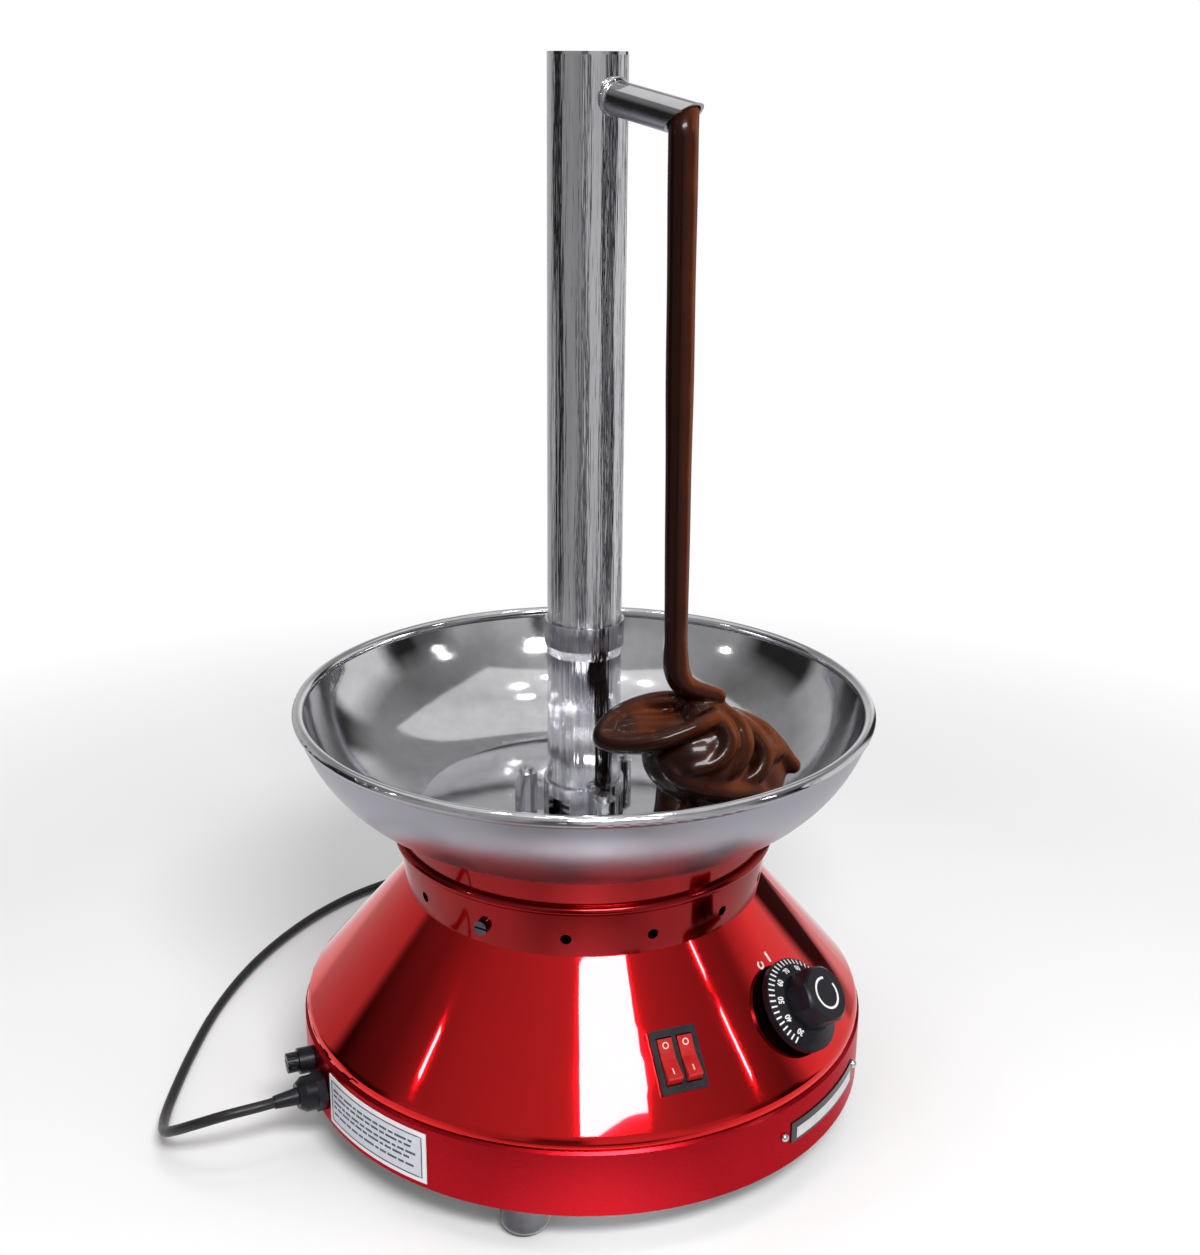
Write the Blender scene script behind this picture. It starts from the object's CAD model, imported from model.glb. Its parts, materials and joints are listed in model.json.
"""Looks of the chocolate fountain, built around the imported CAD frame."""

import json
import math

import bmesh
import bpy
import numpy as np
from mathutils import Matrix, Vector


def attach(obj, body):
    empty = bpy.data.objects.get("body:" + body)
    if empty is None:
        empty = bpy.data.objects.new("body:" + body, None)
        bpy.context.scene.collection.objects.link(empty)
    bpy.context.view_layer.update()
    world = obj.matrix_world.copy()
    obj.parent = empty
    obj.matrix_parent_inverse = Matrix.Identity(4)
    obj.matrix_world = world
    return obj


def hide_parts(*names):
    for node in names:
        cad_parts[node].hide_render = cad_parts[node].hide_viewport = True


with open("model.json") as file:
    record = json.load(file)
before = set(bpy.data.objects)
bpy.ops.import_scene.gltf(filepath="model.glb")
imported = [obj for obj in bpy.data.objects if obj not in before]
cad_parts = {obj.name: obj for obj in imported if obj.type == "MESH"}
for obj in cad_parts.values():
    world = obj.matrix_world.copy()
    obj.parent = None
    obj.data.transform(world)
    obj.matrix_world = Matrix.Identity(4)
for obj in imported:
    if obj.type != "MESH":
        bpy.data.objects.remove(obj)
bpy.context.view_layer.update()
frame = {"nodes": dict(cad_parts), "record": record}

MM = 0.001
NODES = frame["nodes"]

# Sizes in millimetres, as in the part's source
SKIRT_R, CONE_TOP_R, Z_CREASE = 151.0, 94.5, 130.0
SHOULDER_R, SHOULDER_Z, SHOULDER_ROUND = 141.8, 61.0, 8.0
Z_INSIDE = 170.2
BOWL_ARC_R, BOWL_ARC_Z, BOWL_ARC_ROUND = 73.5, 245.55, 76.35
KNOB_TURN, Z_KNOB = 55.5, 89.0
DIAL_R, DIAL_T, DIAL_GAP, GRIP_R, GRIP_H = 24.0, 7.0, 3.0, 15.0, 14.0
SWITCH_TURN, Z_SWITCH, ROCKER_STEP = 20.8, 89.5, 10.4
ROCKER_RISE, ROCKER_TILT = 3.0, 12.0
RATING = {"turn": -43.5, "width": 74.0, "z": 40.9, "height": 28.0}
FRONT = {"turn": 56.0, "width": 68.0, "z": 41.5}
LABEL_PROUD = 0.56
MARK_T, MARK_LIFT, CONE_MARK_LIFT = 0.1, 0.03, 0.05
SPOUT_TURN, SPOUT_REACH, SPOUT_SLOPE, Z_SPOUT = 42.0, 63.0, 10.0, 529.15
CORD_D = 5.4


# Geometry helpers: turn angles start at the front, -Y, and grow towards +X
def turned(turn, reach, z):
    """Point at a turn and a reach from the column's axis."""
    a = math.radians(turn)
    return Vector((reach * math.sin(a), -reach * math.cos(a), z))


def cone_lean():
    """Angle of the cone's outward normal above the horizontal, in radians."""
    dx, dz = SHOULDER_R - CONE_TOP_R, SHOULDER_Z - Z_CREASE
    way = math.atan2(dz, dx) + math.asin(SHOULDER_ROUND / math.hypot(dx, dz))
    return math.pi / 2 + way


LEAN = cone_lean()


def cone_r(z):
    """Radius of the cone at a height."""
    return CONE_TOP_R + (Z_CREASE - z) * math.tan(LEAN)


def cone_frame(turn, z):
    """Matrix of a local frame on the cone: x along the skin, y uphill, z outwards; millimetres."""
    a = math.radians(turn)
    normal = Vector((math.cos(LEAN) * math.sin(a), -math.cos(LEAN) * math.cos(a), math.sin(LEAN)))
    along = Vector((math.cos(a), math.sin(a), 0))
    uphill = normal.cross(along)
    m = Matrix((along, uphill, normal)).transposed().to_4x4()
    m.translation = turned(turn, cone_r(z), z)
    return m


def bowl_floor(r):
    """Height of the bowl's inner surface at a radius."""
    if r <= BOWL_ARC_R:
        return Z_INSIDE
    drop = math.sqrt(max(BOWL_ARC_ROUND ** 2 - (r - BOWL_ARC_R) ** 2, 0))
    return max(Z_INSIDE, BOWL_ARC_Z - drop)


def spline(points, steps):
    """Catmull-Rom curve through a list of points, as in the part's source."""
    p = [np.array(q, float) for q in points]
    last = len(p) - 1
    out = []
    for i in range(last):
        a, b, c, d = p[max(i - 1, 0)], p[i], p[i + 1], p[min(i + 2, last)]
        for k in range(steps):
            t = k / steps
            out.append(0.5 * (2 * b + (c - a) * t + (2 * a - 5 * b + 4 * c - d) * t ** 2
                              + (3 * b - a - 3 * c + d) * t ** 3))
    return out + [p[last]]


def add_object(name, bm, scale=MM):
    """New object in the scene from a bmesh, which is in millimetres unless a scale is given."""
    bm.transform(Matrix.Scale(scale, 4))
    bm.normal_update()
    mesh = bpy.data.meshes.new(name)
    bm.to_mesh(mesh)
    bm.free()
    obj = bpy.data.objects.new(name, mesh)
    bpy.context.scene.collection.objects.link(obj)
    return obj


def dress(obj, material, body, smooth=True):
    """Gives a new piece its material, body and record slot."""
    obj.data.materials.clear()
    obj.data.materials.append(material)
    if smooth and obj.type == "MESH":
        obj.data.polygons.foreach_set("use_smooth", [True] * len(obj.data.polygons))
    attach(obj, body)


def add_tube(bm, points, radii, sides):
    """Closed tube along points, with a radius at each point."""
    pts = [Vector(p) for p in points]
    rings, up = [], None
    for i, p in enumerate(pts):
        way = (pts[min(i + 1, len(pts) - 1)] - pts[max(i - 1, 0)]).normalized()
        if up is None:
            up = way.orthogonal().normalized()
        up = (up - way * up.dot(way)).normalized()
        side = way.cross(up)
        ring = []
        for k in range(sides):
            a = 2 * math.pi * k / sides
            ring.append(bm.verts.new(p + (up * math.cos(a) + side * math.sin(a)) * radii[i]))
        rings.append(ring)
    for a, b in zip(rings, rings[1:]):
        for k in range(sides):
            bm.faces.new((a[k], a[(k + 1) % sides], b[(k + 1) % sides], b[k]))
    bm.faces.new(list(reversed(rings[0])))
    bm.faces.new(rings[-1])


def add_strip(bm, line, half_w, place):
    """Thin closed mark of a set width along (x, y) points, mapped by place(x, y, height)."""
    pts = [Vector((*p, 0)) for p in line]
    left, right = [], []
    for i, p in enumerate(pts):
        way = (pts[min(i + 1, len(pts) - 1)] - pts[max(i - 1, 0)]).normalized()
        side = Vector((-way.y, way.x, 0)) * half_w
        left.append(p + side)
        right.append(p - side)
    rows = []
    for edge, height in ((left, 0.0), (right, 0.0), (right, MARK_T), (left, MARK_T)):
        rows.append([bm.verts.new(place(p.x, p.y, height)) for p in edge])
    for a, b in zip(rows, rows[1:] + rows[:1]):
        for k in range(len(pts) - 1):
            bm.faces.new((a[k], b[k], b[k + 1], a[k + 1]))
    for end in (0, -1):
        bm.faces.new([row[end] for row in rows])


def arc_line(radius, start, stop, steps):
    """Points of an arc between two angles in degrees."""
    return [(radius * math.cos(a), radius * math.sin(a))
            for a in np.radians(np.linspace(start, stop, steps + 1))]


def mark_object(name, bm, material, body):
    """Flat-shaded piece from a bmesh of marks."""
    bmesh.ops.recalc_face_normals(bm, faces=bm.faces)
    dress(add_object(name, bm), MATERIALS[material], body, smooth=False)


# Materials
NOISE_DETAIL = 4.0


def new_material(name):
    """Material with its nodes, links and principled shader."""
    mat = bpy.data.materials.new(name)
    mat.use_nodes = True
    tree = mat.node_tree
    return mat, tree.nodes, tree.links, tree.nodes["Principled BSDF"]


def math_node(nodes, links, operation, *values):
    """Math node on sockets or numbers."""
    node = nodes.new("ShaderNodeMath")
    node.operation = operation
    for socket, value in zip(node.inputs, values):
        if isinstance(value, (int, float)):
            socket.default_value = value
        else:
            links.new(value, socket)
    return node.outputs[0]


def noise(nodes, links, scale, stretch=(1, 1, 1)):
    """Noise in the object's own coordinates, with a stretch along each axis."""
    coords = nodes.new("ShaderNodeTexCoord")
    mapping = nodes.new("ShaderNodeMapping")
    mapping.inputs["Scale"].default_value = stretch
    tex = nodes.new("ShaderNodeTexNoise")
    tex.inputs["Scale"].default_value = scale
    tex.inputs["Detail"].default_value = NOISE_DETAIL
    links.new(coords.outputs["Object"], mapping.inputs["Vector"])
    links.new(mapping.outputs["Vector"], tex.inputs["Vector"])
    return tex.outputs["Fac"]


def ramp(nodes, links, fac, stops):
    """Colour ramp with (position, colour) stops."""
    node = nodes.new("ShaderNodeValToRGB")
    for element, (position, colour) in zip(node.color_ramp.elements, (stops[0], stops[-1])):
        element.position = position
        element.color = (*colour, 1)
    for position, colour in stops[1:-1]:
        node.color_ramp.elements.new(position).color = (*colour, 1)
    links.new(fac, node.inputs["Fac"])
    return node.outputs["Color"]


def spread(nodes, links, fac, low, high, start=0.3, stop=0.7):
    """Value mapped from one range of numbers to another."""
    node = nodes.new("ShaderNodeMapRange")
    node.inputs["From Min"].default_value = start
    node.inputs["From Max"].default_value = stop
    node.inputs["To Min"].default_value = low
    node.inputs["To Max"].default_value = high
    links.new(fac, node.inputs["Value"])
    return node.outputs["Result"]


def blend(nodes, links, fac, first, second):
    """Colour that runs from one colour to another, each a socket or numbers."""
    node = nodes.new("ShaderNodeMix")
    node.data_type = "RGBA"
    links.new(fac, node.inputs["Factor"])
    for key, colour in (("A", first), ("B", second)):
        if isinstance(colour, tuple):
            node.inputs[key].default_value = (*colour, 1)
        else:
            links.new(colour, node.inputs[key])
    return node.outputs["Result"]


def facing(nodes, links, way):
    """Cosine of the angle between the surface's normal and a direction."""
    node = nodes.new("ShaderNodeVectorMath")
    node.operation = "DOT_PRODUCT"
    links.new(nodes.new("ShaderNodeNewGeometry").outputs["Normal"], node.inputs[0])
    node.inputs[1].default_value = way
    return node.outputs["Value"]


def bump(nodes, links, fac, shader, strength, distance):
    """Bump of a set strength and distance on a shader's normal."""
    node = nodes.new("ShaderNodeBump")
    node.inputs["Strength"].default_value = strength
    node.inputs["Distance"].default_value = distance
    links.new(fac, node.inputs["Height"])
    links.new(node.outputs["Normal"], shader.inputs["Normal"])


def surface(name, dark, light, rough, metallic=0.0, scale=60.0, stretch=(1, 1, 1), bumps=None,
            coat=0.0, coat_rough=0.03, coat_ior=1.5, specular=0.5, edge=(1, 1, 1), under=None):
    """Material with a noise in its colour and roughness, and a fine bump of (scale, strength, distance).

    edge tints a metal at grazing angles; under is the colour and added roughness of faces that look down."""
    mat, nodes, links, shader = new_material(name)
    fac = noise(nodes, links, scale, stretch)
    colour = ramp(nodes, links, fac, [(0.3, dark), (0.7, light)])
    roughness = spread(nodes, links, fac, *rough)
    if under:
        down = spread(nodes, links, facing(nodes, links, (0, 0, -1)), 0.0, 1.0, -0.05, 0.25)
        colour = blend(nodes, links, down, colour, under[0])
        roughness = math_node(nodes, links, "MULTIPLY_ADD", down, under[1], roughness)
    links.new(colour, shader.inputs["Base Color"])
    links.new(roughness, shader.inputs["Roughness"])
    shader.inputs["Metallic"].default_value = metallic
    shader.inputs["Coat Weight"].default_value = coat
    shader.inputs["Coat Roughness"].default_value = coat_rough
    shader.inputs["Coat IOR"].default_value = coat_ior
    shader.inputs["Specular IOR Level"].default_value = specular
    shader.inputs["Specular Tint"].default_value = (*edge, 1)
    if bumps:
        bump(nodes, links, noise(nodes, links, bumps[0], stretch), shader, bumps[1], bumps[2])
    return mat


def chocolate():
    """Melted chocolate: warm where it faces the light from above and the right, dark elsewhere."""
    mat, nodes, links, shader = new_material("chocolate")
    lit = facing(nodes, links, (0.88, 0.0, 0.47))
    grain = spread(nodes, links, noise(nodes, links, 60), -0.08, 0.08)
    shade = spread(nodes, links, math_node(nodes, links, "ADD", lit, grain), 0.0, 1.0, -0.4, 1.0)
    tones = [(0.1, (0.009, 0.0015, 0.0005)), (0.35, (0.015, 0.0026, 0.0009)),
             (0.65, (0.036, 0.0076, 0.0022)), (0.95, (0.140, 0.0350, 0.0110))]
    links.new(ramp(nodes, links, shade, tones), shader.inputs["Base Color"])
    links.new(spread(nodes, links, noise(nodes, links, 45), 0.22, 0.30), shader.inputs["Roughness"])
    shader.inputs["Specular IOR Level"].default_value = 0.08
    shader.inputs["Coat Weight"].default_value = 0.3
    shader.inputs["Coat Roughness"].default_value = 0.05
    shader.inputs["Coat IOR"].default_value = 1.35
    return mat


MATERIALS = {
    "red_lacquer": surface("red_lacquer", (0.80, 0.002, 0.005), (0.86, 0.003, 0.006), (0.05, 0.075),
                           metallic=1.0, scale=25, coat=1.0, coat_rough=0.02, coat_ior=1.32,
                           edge=(0.9, 0.12, 0.14)),
    "red_shade": surface("red_shade", (0.26, 0.002, 0.004), (0.32, 0.003, 0.006), (0.14, 0.20),
                         metallic=1.0, scale=25, coat=0.7, coat_rough=0.05, coat_ior=1.3,
                         edge=(0.6, 0.15, 0.17)),
    "red_satin": surface("red_satin", (0.36, 0.003, 0.009), (0.40, 0.004, 0.011), (0.27, 0.32),
                         metallic=1.0, scale=500, coat=0.15, coat_rough=0.2, coat_ior=1.4,
                         edge=(0.95, 0.40, 0.46)),
    "polished_steel": surface("polished_steel", (0.52, 0.52, 0.55), (0.68, 0.68, 0.71), (0.07, 0.15),
                              metallic=1.0, scale=240, stretch=(1, 1, 0.04), bumps=(260, 0.9, 0.0012)),
    "mirror_steel": surface("mirror_steel", (0.60, 0.60, 0.62), (0.68, 0.68, 0.70), (0.07, 0.11),
                            metallic=1.0, scale=90, bumps=(22, 0.05, 0.0008),
                            under=((0.40, 0.39, 0.44), 0.24)),
    "foot_chrome": surface("foot_chrome", (0.07, 0.07, 0.08), (0.12, 0.12, 0.13), (0.03, 0.07),
                           metallic=1.0, scale=90),
    "zinc_steel": surface("zinc_steel", (0.45, 0.46, 0.48), (0.60, 0.61, 0.62), (0.30, 0.45),
                          metallic=1.0, scale=110, bumps=(400, 0.1, 0.0002)),
    "screw_steel": surface("screw_steel", (0.52, 0.52, 0.53), (0.66, 0.66, 0.67), (0.18, 0.30),
                           metallic=1.0, scale=300),
    "black_plastic": surface("black_plastic", (0.005, 0.005, 0.008), (0.010, 0.010, 0.014),
                             (0.28, 0.40), scale=200, bumps=(1500, 0.12, 0.00006), specular=0.22),
    "rocker_red": surface("rocker_red", (0.38, 0.004, 0.004), (0.46, 0.007, 0.006), (0.16, 0.24),
                          scale=250, coat=0.2),
    "plate_white": surface("plate_white", (0.68, 0.68, 0.71), (0.76, 0.76, 0.79), (0.32, 0.42),
                           scale=150),
    "plate_dark": surface("plate_dark", (0.008, 0.008, 0.009), (0.016, 0.016, 0.017), (0.14, 0.22),
                          scale=220, specular=0.4),
    "rubber_black": surface("rubber_black", (0.012, 0.012, 0.012), (0.022, 0.022, 0.022),
                            (0.55, 0.75), scale=200, bumps=(1200, 0.2, 0.0001)),
    "pvc_black": surface("pvc_black", (0.008, 0.008, 0.008), (0.015, 0.015, 0.015), (0.34, 0.46),
                         scale=180, bumps=(900, 0.12, 0.0001), specular=0.35),
    "brass": surface("brass", (0.50, 0.34, 0.12), (0.62, 0.44, 0.17), (0.20, 0.34), metallic=1.0,
                     scale=140),
    "alu_cast": surface("alu_cast", (0.45, 0.46, 0.47), (0.56, 0.57, 0.58), (0.38, 0.55),
                        metallic=1.0, scale=80, bumps=(600, 0.25, 0.0002)),
    "motor_steel": surface("motor_steel", (0.20, 0.21, 0.23), (0.28, 0.29, 0.31), (0.35, 0.48),
                           metallic=0.3, scale=70),
    "copper_winding": surface("copper_winding", (0.40, 0.16, 0.05), (0.55, 0.26, 0.10), (0.25, 0.4),
                              metallic=1.0, scale=300, stretch=(1, 1, 0.1)),
    "block_white": surface("block_white", (0.62, 0.60, 0.52), (0.72, 0.70, 0.62), (0.4, 0.55),
                           scale=120),
    "wire_grey": surface("wire_grey", (0.24, 0.24, 0.25), (0.32, 0.32, 0.33), (0.4, 0.5), scale=150),
    "mica": surface("mica", (0.30, 0.21, 0.11), (0.46, 0.34, 0.20), (0.35, 0.5), scale=60),
    "gear_plastic": surface("gear_plastic", (0.60, 0.54, 0.36), (0.70, 0.64, 0.44), (0.35, 0.45),
                            scale=100),
    "fuse_glass": surface("fuse_glass", (0.80, 0.84, 0.86), (0.86, 0.90, 0.92), (0.04, 0.08),
                          scale=80),
    "chocolate": chocolate(),
    "marks_white": surface("marks_white", (0.70, 0.70, 0.70), (0.78, 0.78, 0.78), (0.45, 0.55),
                           scale=400),
    "marks_pink": surface("marks_pink", (0.72, 0.42, 0.38), (0.80, 0.50, 0.46), (0.35, 0.45), scale=400),
    "bare_metal": surface("bare_metal", (0.60, 0.60, 0.62), (0.72, 0.72, 0.74), (0.14, 0.24),
                          metallic=1.0, scale=250),
    "label_line": surface("label_line", (0.03, 0.03, 0.04), (0.06, 0.06, 0.08), (0.4, 0.5), scale=300),
    "label_field": surface("label_field", (0.52, 0.54, 0.60), (0.60, 0.62, 0.68), (0.35, 0.45),
                           scale=200),
}

SLOT_OF = {s["node"]: s["material_slot"] for s in frame["record"]["subparts"]}
# Nodes that are shown in another finish than their slot's
SHADED = {"neck_ring": "red_shade", "bowl_hub": "zinc_steel", "neck_screws": "foot_chrome",
          "spout": "mirror_steel", "column_cap": "mirror_steel"}
for node, obj in NODES.items():
    obj.data.materials.clear()
    obj.data.materials.append(MATERIALS[SHADED.get(node, SLOT_OF[node])])


# Camera: fitted to the photograph, 1200 by 1255
IMAGE_W, IMAGE_H = 1200, 1255
FOCAL_PX, PITCH, ROLL = 1652.46, 18.5, 0.35
AXIS_PX = (584.5, 618.85)
CAMERA_PLACE, SENSOR_W = (0, -0.80166, 0.53937), 36.0
camera_data = bpy.data.cameras.new("camera")
camera_data.sensor_width = SENSOR_W
camera_data.lens = SENSOR_W * FOCAL_PX / IMAGE_H
camera_data.shift_x = (IMAGE_W / 2 - AXIS_PX[0]) / IMAGE_H
camera_data.shift_y = (AXIS_PX[1] - IMAGE_H / 2) / IMAGE_H
camera_data.clip_end = 50.0
camera = bpy.data.objects.new("camera", camera_data)
camera.matrix_world = (Matrix.Translation(CAMERA_PLACE)
                       @ Matrix.Rotation(math.radians(90 - PITCH), 4, "X")
                       @ Matrix.Rotation(math.radians(ROLL), 4, "Z"))
bpy.context.scene.collection.objects.link(camera)
bpy.context.scene.camera = camera
bpy.context.scene.view_settings.view_transform = "Standard"


# Stage: a pale floor that runs out into white, with dark flags at the sides for what is polished
# Bands are pairs of an azimuth, in degrees from the front towards +X, and a grey level; fades are in metres
STUDIO_BANDS = [
    (-180, 0.85), (-160, 0.60), (-114, 0.45), (-109, 0.02), (-81, 0.02), (-70, 0.35), (-20, 0.35),
    (-15, 0.12), (-1, 0.12), (6, 0.62), (34, 0.62), (42, 0.45), (58, 0.45), (66, 0.12), (76, 0.10),
    (80, 0.02), (90, 0.02), (99, 0.80), (128, 0.80), (134, 0.03), (147, 0.03), (153, 0.95), (180, 0.85)]
NEAR_FLOOR = [
    (-180, 0.80), (-70, 0.80), (-40, 0.65), (-20, 0.16), (20, 0.16), (40, 0.65), (70, 0.80), (180, 0.80)]
CEILING = [
    (-180, 0.32), (-120, 0.30), (-90, 0.16), (-60, 0.36), (-25, 0.46), (4, 0.54), (22, 0.54),
    (45, 0.36), (70, 0.26), (95, 0.18), (125, 0.30), (180, 0.32)]
CEILING_START, CEILING_FULL = 0.26, 0.50
DIFFUSE_SKY = 0.36
FLOOR_GREY, FLOOR_GRAIN, FLOOR_R = 0.84, 0.01, 12.0
FLOOR_GLOW = [(-180, 0.0), (-22, 0.0), (2, 1.0), (8, 1.0), (32, 0.0), (180, 0.0)]
GLOW_LEVEL, GLOW_FADE = 0.9, (0.20, 0.27)
SEEN_FADE, MIRROR_FADE, WALL_FADE = (0.45, 0.85), (0.19, 0.28), (0.60, 0.95)


def studio_bands(nodes, links, vector, levels):
    """Grey level of the studio in the direction of a vector."""
    parts = nodes.new("ShaderNodeSeparateXYZ")
    links.new(vector, parts.inputs[0])
    ahead = math_node(nodes, links, "MULTIPLY", parts.outputs["Y"], -1.0)
    azimuth = math_node(nodes, links, "ARCTAN2", parts.outputs["X"], ahead)
    share = math_node(nodes, links, "MULTIPLY_ADD", azimuth, 1 / (2 * math.pi), 0.5)
    stops = [((turn + 180) / 360, (level,) * 3) for turn, level in levels]
    return ramp(nodes, links, share, stops)


def mix_shaders(nodes, links, fac, first, second):
    """Shader that runs from one shader to another."""
    node = nodes.new("ShaderNodeMixShader")
    links.new(fac, node.inputs["Fac"])
    links.new(first.outputs[0], node.inputs[1])
    links.new(second.outputs[0], node.inputs[2])
    return node


def mirror_rays(nodes, links, path):
    """1 for the rays that metal and glass send out."""
    return math_node(nodes, links, "MAXIMUM", path.outputs["Is Glossy Ray"],
                     path.outputs["Is Transmission Ray"])


def make_floor():
    """Sheet of paper that runs out into white for the camera and into bands for what is polished."""
    mat, nodes, links, paper = new_material("paper")
    shades = [(0.3, (FLOOR_GREY - FLOOR_GRAIN,) * 3), (0.7, (FLOOR_GREY + FLOOR_GRAIN,) * 3)]
    links.new(ramp(nodes, links, noise(nodes, links, 3.0), shades), paper.inputs["Base Color"])
    paper.inputs["Roughness"].default_value = 0.9
    paper.inputs["Specular IOR Level"].default_value = 0.1

    path = nodes.new("ShaderNodeLightPath")
    mirrored = mirror_rays(nodes, links, path)
    place = nodes.new("ShaderNodeNewGeometry").outputs["Position"]
    distance = nodes.new("ShaderNodeVectorMath")
    distance.operation = "LENGTH"
    links.new(place, distance.inputs[0])
    away = distance.outputs["Value"]

    flags = nodes.new("ShaderNodeEmission")
    outward = spread(nodes, links, away, 0.0, 1.0, *WALL_FADE)
    near, walls = (studio_bands(nodes, links, place, levels) for levels in (NEAR_FLOOR, STUDIO_BANDS))
    links.new(blend(nodes, links, outward, near, walls), flags.inputs["Color"])
    far = mix_shaders(nodes, links, mirrored, nodes.new("ShaderNodeEmission"), flags)
    shares = []
    for rays, (low, full) in ((path.outputs["Is Camera Ray"], SEEN_FADE), (mirrored, MIRROR_FADE)):
        fade = spread(nodes, links, away, 0.0, 1.0, low, full)
        shares.append(math_node(nodes, links, "MULTIPLY", fade, rays))
    ground = mix_shaders(nodes, links, math_node(nodes, links, "MAXIMUM", *shares), paper, far)

    glow = nodes.new("ShaderNodeEmission")
    close = spread(nodes, links, away, GLOW_LEVEL, 0.0, *GLOW_FADE)
    links.new(studio_bands(nodes, links, place, FLOOR_GLOW), glow.inputs["Color"])
    links.new(math_node(nodes, links, "MULTIPLY", close, mirrored), glow.inputs["Strength"])
    both = nodes.new("ShaderNodeAddShader")
    links.new(ground.outputs[0], both.inputs[0])
    links.new(glow.outputs[0], both.inputs[1])
    links.new(both.outputs[0], nodes["Material Output"].inputs["Surface"])

    bm = bmesh.new()
    bmesh.ops.create_circle(bm, cap_ends=True, segments=96, radius=FLOOR_R)
    floor = add_object("floor", bm, scale=1.0)
    floor.data.materials.append(mat)


def make_world():
    """White for the camera, banded for what is polished, plain grey for diffuse light."""
    world = bpy.data.worlds.new("studio")
    bpy.context.scene.world = world
    world.use_nodes = True
    nodes, links = world.node_tree.nodes, world.node_tree.links
    path = nodes.new("ShaderNodeLightPath")
    way = nodes.new("ShaderNodeTexCoord").outputs["Generated"]
    walls, ceiling = (studio_bands(nodes, links, way, levels) for levels in (STUDIO_BANDS, CEILING))
    parts = nodes.new("ShaderNodeSeparateXYZ")
    links.new(way, parts.inputs[0])
    rise = spread(nodes, links, parts.outputs["Z"], 0.0, 1.0, CEILING_START, CEILING_FULL)
    plain = nodes["Background"]
    plain.inputs["Color"].default_value = (1, 1, 1, 1)
    plain.inputs["Strength"].default_value = DIFFUSE_SKY
    polished = nodes.new("ShaderNodeBackground")
    links.new(blend(nodes, links, rise, walls, ceiling), polished.inputs["Color"])
    white = nodes.new("ShaderNodeBackground")
    white.inputs["Color"].default_value = (1, 1, 1, 1)
    lit = mix_shaders(nodes, links, mirror_rays(nodes, links, path), plain, polished)
    seen = mix_shaders(nodes, links, path.outputs["Is Camera Ray"], lit, white)
    links.new(seen.outputs[0], nodes["World Output"].inputs["Surface"])


CENTRE = (0, 0, 0.12)
LAMPS = [
    # name, place and size in metres, watts, slide along its own upright
    ("key", (0.28, -1.13, 1.23), (0.63, 0.26), 22, 0.0),
    ("left_strip", (-1.15, -0.42, 0.95), (0.028, 0.07), 0.25, -0.13),
    ("right_strip_high", (1.17, -0.36, 0.95), (0.024, 0.10), 0.3, 0.005),
    ("right_strip_low", (1.17, -0.36, 0.95), (0.024, 0.10), 0.3, -0.145),
    ("overhead", (0, 0.3, 2.2), (3.2, 2.6), 13, 0.0),
]
SPOT_Z, SPOT_SIZE, SPOT_POWER = 1.9, (0.045, 0.045), 0.5
CEILING_SPOTS = [(-0.55, -0.3), (-0.3, -0.5), (-0.1, -0.42), (0.12, -0.36), (0.34, -0.5), (-0.42, 0.2),
                 (-0.12, 0.3), (0.08, 0.24), (0.4, 0.1), (0.55, -0.2)]


def soft_box(name, place, size, power, slide=0.0):
    """Lamp that faces the middle of the base; slide moves it along its own upright."""
    data = bpy.data.lights.new(name, "AREA")
    data.shape = "RECTANGLE"
    data.size, data.size_y = size
    data.energy = power
    obj = bpy.data.objects.new(name, data)
    turn = (Vector(CENTRE) - Vector(place)).to_track_quat("-Z", "Y")
    obj.location = Vector(place) + turn @ Vector((0, slide, 0))
    obj.rotation_euler = turn.to_euler()
    bpy.context.scene.collection.objects.link(obj)


make_floor()
make_world()
for lamp in LAMPS:
    soft_box(*lamp)
for index, (x, y) in enumerate(CEILING_SPOTS):
    soft_box(f"spot_{index}", (x, y, SPOT_Z), SPOT_SIZE, SPOT_POWER)


# Mains cord: the route and coil of the part's source
GLAND_TURN, GLAND_TIP, Z_GLAND, CORD_LEAD = -62.0, 26.02, 38.5, 8.0
COIL_CENTRE, COIL_R, COIL_TURNS, COIL_GAP, COIL_SEG = (10.0, 214.0), 31.0, 3, 0.7, 24
COIL_STEP = CORD_D + COIL_GAP
COIL_Z = CORD_D / 2 + 1.0
COIL_OUT = COIL_R + COIL_TURNS * COIL_STEP / 2
COIL_IN = COIL_R - COIL_TURNS * COIL_STEP / 2
CLIMB_SEG, CLIMB_IN, PLUG_LEAD, COIL_END_WAY = COIL_SEG // 2, 1.4, 14.0, -1
CORD_WAY = [
    (-179, -92, 37), (-194, -91.5, 31.5), (-207, -85, 23), (-216, -73.5, 14), (-221, -58, 7.5),
    (-223.5, -40, 4), (-224, -18, 2.9), (-223, 12, 2.9), (-220, 50, 2.9), (-214, 85, 2.9),
    (-205, 118, 2.9), (-192, 150, 2.9), (-174, 182, 2.9), (-150, 211, 2.9), (-120, 234, 2.9),
    (-88, 247, 3.1), (-55, 253, 3.4), (-25, 254, COIL_Z)]
FREE_SPLINE, COIL_SPLINE = 6, 3


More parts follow.
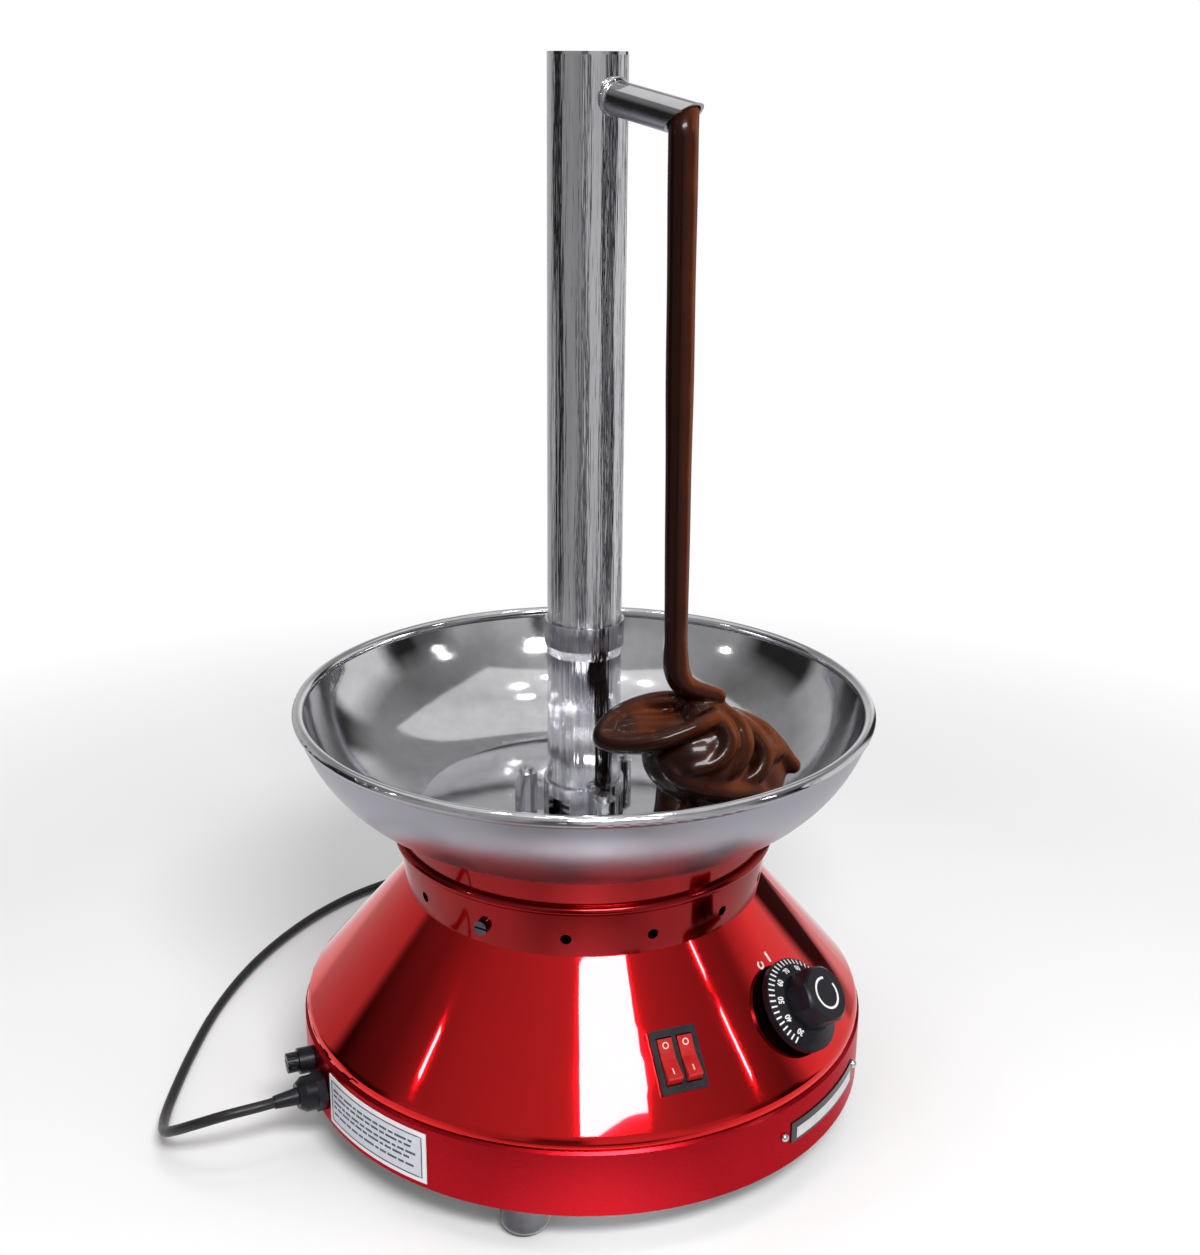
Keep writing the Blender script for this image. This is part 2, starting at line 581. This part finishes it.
def coil_points():
    """Points of the coil: inwards on the floor, a climb, and outwards on top."""
    half = COIL_TURNS * COIL_SEG
    points = []
    for i in range(2 * half + CLIMB_SEG + 1):
        t = min(max((i - half) / CLIMB_SEG, 0), 1)
        if i <= half:
            r = COIL_OUT - i * COIL_STEP / COIL_SEG
        elif i >= half + CLIMB_SEG:
            r = COIL_IN + (i - half - CLIMB_SEG) * COIL_STEP / COIL_SEG
        else:
            r = COIL_IN - CLIMB_IN * math.sin(math.pi * t)
        a = math.radians(90 - i * 360 / COIL_SEG)
        z = COIL_Z + COIL_STEP * t * t * (3 - 2 * t)
        points.append((COIL_CENTRE[0] + r * math.cos(a), COIL_CENTRE[1] + r * math.sin(a), z))
    return points


def cord_route():
    """Smooth run of the whole cord, from the gland round the base to the plug."""
    start = turned(GLAND_TURN, SKIRT_R + GLAND_TIP, Z_GLAND)
    straight = turned(GLAND_TURN, SKIRT_R + GLAND_TIP + CORD_LEAD, Z_GLAND)
    into_coil = (COIL_CENTRE[0] - CORD_D, COIL_CENTRE[1] + COIL_OUT, COIL_Z)
    free = [tuple(start), tuple(straight), *CORD_WAY, into_coil]
    coil = coil_points()
    end = coil[-1]
    coil.append((end[0] + COIL_END_WAY * PLUG_LEAD, end[1], end[2]))
    return spline(free, FREE_SPLINE)[:-1] + spline([into_coil] + coil, COIL_SPLINE)


def make_cord():
    """One curve for the free cord and its coil."""
    route = [Vector(p) * MM for p in cord_route()]
    curve = bpy.data.curves.new("mains_cord", "CURVE")
    curve.dimensions = "3D"
    curve.bevel_depth = CORD_D / 2 * MM
    curve.bevel_resolution = 4
    curve.use_fill_caps = True
    line = curve.splines.new("POLY")
    line.points.add(len(route) - 1)
    for point, place in zip(line.points, route):
        point.co = (*place, 1)
    cord = bpy.data.objects.new("mains_cord", curve)
    bpy.context.scene.collection.objects.link(cord)
    dress(cord, MATERIALS["pvc_black"], "base")
    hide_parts("power_cord", "cord_coil")


make_cord()


# Chocolate: the stream and the folded pile
SPOUT_BORE_R, ROOF_GAP = 6.8, 0.15
Z_FALL, Z_RIBBON, STREAM_DRIFT = 510.0, 258.0, 2.3
STREAM_R = [(0.0, 6.8), (0.45, 6.5), (0.75, 5.9), (0.95, 5.7), (0.97, 5.5), (1.0, 4.8)]
STREAM_STEPS, STREAM_SIDES = 44, 40
WAVE_H, WAVE_RATE = 0.08, 19


def make_stream():
    """Stream that fills the spout's mouth and thins as it falls."""
    slope = math.radians(SPOUT_SLOPE)
    out, side = turned(SPOUT_TURN, 1, 0), turned(SPOUT_TURN + 90, 1, 0)
    angles = np.linspace(0, 2 * math.pi, STREAM_SIDES, endpoint=False)
    bm = bmesh.new()
    roof = []
    for a in angles:
        reach, across = SPOUT_REACH + SPOUT_BORE_R * math.cos(a), SPOUT_BORE_R * math.sin(a)
        rise = math.sqrt(max(SPOUT_BORE_R ** 2 - across ** 2, 0)) / math.cos(slope) - ROOF_GAP
        place = out * reach + side * across
        roof.append(bm.verts.new((place.x, place.y, Z_SPOUT - reach * math.tan(slope) + rise)))
    rows = [roof]
    for k in range(STREAM_STEPS + 1):
        t = k / STREAM_STEPS
        r = np.interp(t, *zip(*STREAM_R)) + WAVE_H * math.sin(WAVE_RATE * t)
        centre = out * SPOUT_REACH + Vector((STREAM_DRIFT * t, 0, Z_FALL + (Z_RIBBON - Z_FALL) * t))
        rows.append([bm.verts.new(centre + (out * math.cos(a) + side * math.sin(a)) * r) for a in angles])
    for upper, lower in zip(rows, rows[1:]):
        for k in range(STREAM_SIDES):
            n = (k + 1) % STREAM_SIDES
            bm.faces.new((upper[k], lower[k], lower[n], upper[n]))
    bm.faces.new(roof)
    bm.faces.new(list(reversed(rows[-1])))
    bmesh.ops.recalc_face_normals(bm, faces=bm.faces)
    stream = add_object("chocolate_flow", bm)
    dress(stream, MATERIALS["chocolate"], "column")
    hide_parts("chocolate_stream")


PILE_LUMPS = [
    # centre, radii
    ((71.5, -33.5, 178), (33, 30, 30)),
    ((54.5, -46, 216), (26, 23.5, 22)),
    ((58, -45, 224), (24, 20, 16)),
    ((59, -45, 235), (14, 13, 11.5)),
    ((82.3, -28.3, 199), (20.5, 20.5, 21)),
    ((83, -32, 214), (19, 16, 9)),
]
PILE_FOLDS = [
    # points, radii spread evenly along them
    ([(44.1, -46.8, 300), (44.3, -46.8, 284), (44.4, -46.8, 270), (45, -46.8, 261), (48, -46.8, 254),
      (54, -46.7, 250.5), (61, -46.4, 248.6), (66, -46.2, 247.4)], (4.6, 5.4, 6.2, 6.6, 6.2, 5.2, 4.5, 3.9)),
    ([(50, -46, 228), (36, -51, 229), (22, -56, 231), (9.5, -60, 230)], (11, 10.5, 10.5, 5.5)),
    ([(62, -44, 239), (49, -40.5, 242.5), (37, -42, 243), (25, -47, 241.5), (14, -55, 238), (9, -62, 231.5),
      (20, -67, 230), (38, -68, 233), (54, -64, 238), (63, -57, 240)], (4.5, 4.8, 5, 4.8, 4.5)),
    ([(60, -55, 241), (68, -57, 235), (70, -60.5, 227), (64, -65, 220), (52, -67, 217)], (5, 5, 4)),
    ([(66, -46, 240), (75, -49, 233), (78, -53.5, 224), (73, -58.5, 215), (60, -62.5, 210)], (5, 6, 4)),
    ([(67, -40, 235), (80, -39, 227), (89, -42, 217), (87, -47.5, 208), (74, -54, 202)], (6, 6, 4)),
    ([(72, -33, 231), (87, -29, 223), (97, -29, 213), (103, -30.5, 206), (106, -31.5, 204)], (6, 6, 4.4)),
    ([(38, -60, 220), (46, -65.5, 213), (58, -64, 207), (72, -58.5, 202), (86, -47, 199)], (4, 6, 5)),
    ([(45, -47.5, 204), (43.5, -49, 190), (42.5, -48, 176)], (8.5, 8, 9)),
    ([(62, -54.5, 202), (64, -55, 188), (64, -53, 175)], (9, 8, 8)),
    ([(83, -41, 196), (86, -39, 186), (86, -35, 176)], (9, 9, 9)),
]
SEAT_CLEAR_R, SEAT_CLEAR_Z, COLUMN_CLEAR_R, FLOOR_CLEAR = 39.0, 189.0, 26.0, 0.25
FOLD_STEPS, PILE_VOXEL, PILE_SMOOTHING, PILE_ROUNDS = 8, 1.2, 0.5, 8


def make_pile():
    """Lumps and folded ribbons of chocolate, fused, smoothed and set on the bowl's floor."""
    bm = bmesh.new()
    for centre, radii in PILE_LUMPS:
        place = Matrix.Translation(centre) @ Matrix.Diagonal((*radii, 1))
        bmesh.ops.create_uvsphere(bm, u_segments=48, v_segments=32, radius=1.0, matrix=place)
    for points, radii in PILE_FOLDS:
        line = spline(points, FOLD_STEPS)
        along = np.linspace(0, len(radii) - 1, len(line))
        add_tube(bm, line, list(np.interp(along, range(len(radii)), radii)), sides=20)
        tip = Matrix.Translation(line[-1])
        bmesh.ops.create_uvsphere(bm, u_segments=20, v_segments=12, radius=radii[-1], matrix=tip)
    pile = add_object("chocolate_pile", bm)
    remesh = pile.modifiers.new("fuse", "REMESH")
    remesh.mode = "VOXEL"
    remesh.voxel_size = PILE_VOXEL * MM
    smooth = pile.modifiers.new("flow", "SMOOTH")
    smooth.factor, smooth.iterations = PILE_SMOOTHING, PILE_ROUNDS
    depsgraph = bpy.context.evaluated_depsgraph_get()
    mesh = bpy.data.meshes.new_from_object(pile.evaluated_get(depsgraph))
    pile.modifiers.clear()
    pile.data = mesh
    for v in mesh.vertices:
        x, y, z = (c / MM for c in v.co)
        r = math.hypot(x, y)
        clear = SEAT_CLEAR_R if z < SEAT_CLEAR_Z else COLUMN_CLEAR_R
        if 0 < r < clear:
            x, y, r = x * clear / r, y * clear / r, clear
        z = max(z, bowl_floor(r) + FLOOR_CLEAR)
        v.co = Vector((x, y, z)) * MM
    dress(pile, MATERIALS["chocolate"], "base")
    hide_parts("chocolate_pool")


make_stream()
make_pile()


# Marks on the dial, the rockers, the cone and the plates
DIAL_NUMBERS = range(30, 120, 10)
NUMBER_PITCH, NUMBER_R, NUMBER_H, NUMBER_BOLD = 30.0, 17.9, 3.7, 0.025
TICK_PITCH, TICK_IN, TICK_OUT, TICK_HALF = 7.5, 20.6, 23.5, 0.42
GRIP_RING_R, GRIP_RING_START, GRIP_RING_STOP, GRIP_RING_HALF = 7.7, 62, 372, 0.6
ROCKER_O_R, ROCKER_O_Y, ROCKER_O_HALF = 1.35, 6.6, 0.28
ROCKER_I_LOW, ROCKER_I_HIGH, ROCKER_I_HALF = -7.6, -4.6, 0.3
INDEX_LINE = {"turn": 57.9, "z": 110.2, "reach": 2.9, "half": 0.8}
INDEX_RING = {"turn": 53.7, "z": 109.6, "r": 1.8, "start": 100, "stop": 400, "half": 0.55}
PLATE_STEPS, FIELD_MARGIN, BORDER_MARGIN, BORDER_HALF = 24, 3.2, 2.6, 0.3
LABEL_ROWS, LABEL_DASHES = (7.2, 4.2, 0.6, -2.4, -6.4), (5.0, 3.2, 7.4, 2.4, 4.2, 6.0, 3.6)
LABEL_GAP, LABEL_MARGIN, DASH_HALF, BORDER_LIFT = 1.1, 5, 0.6, 0.01
STRIP_MARGIN, STRIP_Y, STRIP_HALF = 4, -1.2, 3.1


def dial_point(angle, r, height):
    """Point over the dial's bevelled face, in the cone's frame at the knob."""
    inner = GRIP_R + 1
    face = DIAL_T / 2 * (1 + (DIAL_R - min(max(r, inner), DIAL_R)) / (DIAL_R - inner))
    return Vector((r * math.cos(angle), r * math.sin(angle), DIAL_GAP + face + MARK_LIFT + height))


def number_mesh(text):
    """Mesh of a number in the built-in typeface, one unit high and set on its middle."""
    curve = bpy.data.curves.new("number", "FONT")
    curve.body = text
    curve.align_x, curve.align_y = "CENTER", "CENTER"
    curve.extrude = MARK_T / 2 / NUMBER_H
    curve.offset = NUMBER_BOLD
    holder = bpy.data.objects.new("number", curve)
    bpy.context.scene.collection.objects.link(holder)
    depsgraph = bpy.context.evaluated_depsgraph_get()
    mesh = bpy.data.meshes.new_from_object(holder.evaluated_get(depsgraph))
    bpy.data.objects.remove(holder)
    return mesh


def make_dial_marks():
    """Ticks and numbers round the dial and an open ring on the grip's end."""
    on_knob = cone_frame(KNOB_TURN, Z_KNOB)
    half_sweep = NUMBER_PITCH * (len(DIAL_NUMBERS) - 1) / 2
    bm = bmesh.new()
    for offset in np.arange(-half_sweep, half_sweep + 1, TICK_PITCH):
        angle = math.radians(90 + offset)
        add_strip(bm, [(TICK_IN, 0), (TICK_OUT, 0)], TICK_HALF,
                  lambda x, y, z, a=angle: on_knob @ dial_point(a + y / x, x, z))
    mark_object("dial_ticks", bm, "marks_white", "dial")

    bm = bmesh.new()
    for k, number in enumerate(DIAL_NUMBERS):
        angle = math.radians(90 + half_sweep - k * NUMBER_PITCH)
        mesh = number_mesh(str(number))
        for v in mesh.vertices:
            r = NUMBER_R + v.co.y * NUMBER_H
            turn = angle - v.co.x * NUMBER_H / NUMBER_R
            v.co = on_knob @ dial_point(turn, r, MARK_T / 2 + v.co.z * NUMBER_H)
        bm.from_mesh(mesh)
        bpy.data.meshes.remove(mesh)
    mark_object("dial_numbers", bm, "marks_white", "dial")

    bm = bmesh.new()
    top = DIAL_GAP + DIAL_T + GRIP_H + MARK_LIFT
    ring = arc_line(GRIP_RING_R, GRIP_RING_START, GRIP_RING_STOP, 48)
    add_strip(bm, ring, GRIP_RING_HALF, lambda x, y, z: on_knob @ Vector((x, y, top + z)))
    mark_object("grip_ring", bm, "marks_white", "dial")


def make_rocker_marks():
    """O and I on each rocker."""
    on_switch = cone_frame(SWITCH_TURN, Z_SWITCH)
    tilt = math.radians(ROCKER_TILT)
    for side, body in ((-1, "left_rocker"), (1, "right_rocker")):
        place_at = (on_switch @ Matrix.Translation((side * ROCKER_STEP / 2, 0, 0))
                    @ Matrix.Rotation(-tilt, 4, "X"))

        def place(x, y, z, place_at=place_at):
            return place_at @ Vector((x, y, ROCKER_RISE + abs(y) * math.tan(tilt) + MARK_LIFT + z))

        bm = bmesh.new()
        ring = [(x, ROCKER_O_Y + y) for x, y in arc_line(ROCKER_O_R, 0, 360, 24)]
        add_strip(bm, ring, ROCKER_O_HALF, place)
        add_strip(bm, [(0, ROCKER_I_LOW), (0, ROCKER_I_HIGH)], ROCKER_I_HALF, place)
        mark_object(f"{body}_marks", bm, "marks_pink", body)


def cone_place(mark):
    """Maps (x, y, height) to the cone at a mark."""
    on_cone = cone_frame(mark["turn"], mark["z"])
    return lambda x, y, z: on_cone @ Vector((x, y, CONE_MARK_LIFT + z))


def make_index_marks():
    """Index line and open ring on the cone above the dial."""
    bm = bmesh.new()
    line = [(0, -INDEX_LINE["reach"]), (0, INDEX_LINE["reach"])]
    add_strip(bm, line, INDEX_LINE["half"], cone_place(INDEX_LINE))
    ring = arc_line(INDEX_RING["r"], INDEX_RING["start"], INDEX_RING["stop"], 24)
    add_strip(bm, ring, INDEX_RING["half"], cone_place(INDEX_RING))
    mark_object("index_marks", bm, "marks_white", "base")


def plate_place(plate, lift):
    """Maps (x, y, height) to the face of a plate on the skirt."""
    def place(x, y, z):
        turn = plate["turn"] + math.degrees(x / SKIRT_R)
        return turned(turn, SKIRT_R + LABEL_PROUD + lift + z, plate["z"] + y)
    return place


def plate_line(half_w, y):
    """Level line across a plate, with points close enough to follow the skirt."""
    return [(x, y) for x in np.linspace(-half_w, half_w, PLATE_STEPS + 1)]


def make_plate_marks():
    """A field, border and rows of dashes on the pale plate and a bare strip on the dark one; no words."""
    half_w, half_h = RATING["width"] / 2, RATING["height"] / 2
    bm = bmesh.new()
    field = plate_line(half_w - FIELD_MARGIN, 0)
    add_strip(bm, field, half_h - FIELD_MARGIN, plate_place(RATING, 0.0))
    mark_object("rating_field", bm, "label_field", "base")

    bm = bmesh.new()
    rise = half_h - BORDER_MARGIN
    low, high = (plate_line(half_w - BORDER_MARGIN, y) for y in (-rise, rise))
    add_strip(bm, low + high[::-1] + low[:1], BORDER_HALF, plate_place(RATING, BORDER_LIFT))
    for row, y in enumerate(LABEL_ROWS):
        x, k = LABEL_MARGIN - half_w, row
        dash = LABEL_DASHES[k % len(LABEL_DASHES)]
        while x < half_w - LABEL_MARGIN - dash:
            line = [(x, y), (x + dash / 2, y), (x + dash, y)]
            add_strip(bm, line, DASH_HALF, plate_place(RATING, MARK_T))
            x, k = x + dash + LABEL_GAP, k + 1
            dash = LABEL_DASHES[k % len(LABEL_DASHES)]
    mark_object("rating_rules", bm, "label_line", "base")

    bm = bmesh.new()
    strip = plate_line(FRONT["width"] / 2 - STRIP_MARGIN, STRIP_Y)
    add_strip(bm, strip, STRIP_HALF, plate_place(FRONT, 0.0))
    mark_object("front_strip", bm, "bare_metal", "base")


make_dial_marks()
make_rocker_marks()
make_index_marks()
make_plate_marks()
